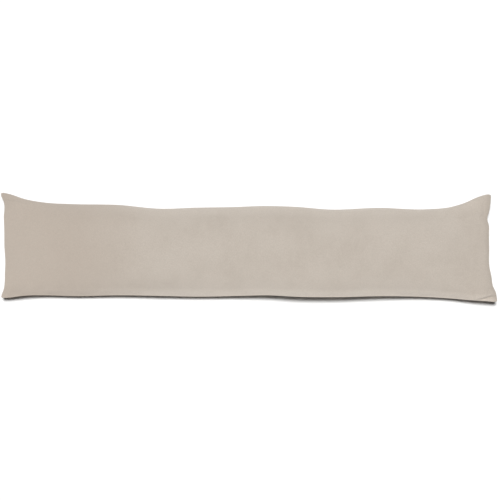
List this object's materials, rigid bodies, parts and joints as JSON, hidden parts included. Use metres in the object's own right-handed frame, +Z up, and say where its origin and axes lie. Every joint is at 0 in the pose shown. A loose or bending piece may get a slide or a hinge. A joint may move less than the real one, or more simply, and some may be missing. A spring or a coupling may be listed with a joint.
{
  "type": "draught excluder",
  "caption": "Long filled velvet cushion with pointed corners and a plain knife-edge seam, laid along the foot of a door to stop draughts.",
  "frame": {"origin": "on the floor, under the middle of the cushion's box", "axes": "+X along the cushion to the picture's right, +Y across it to the far long seam, the picture's top edge, +Z up"},
  "size_m": [0.9006, 0.2008, 0.0888],
  "materials": {
    "velvet": "short soft pile, matt, pale warm stone grey"
  },
  "bodies": {
    "root": {"filled_cover": "velvet"}
  },
  "joints": []
}
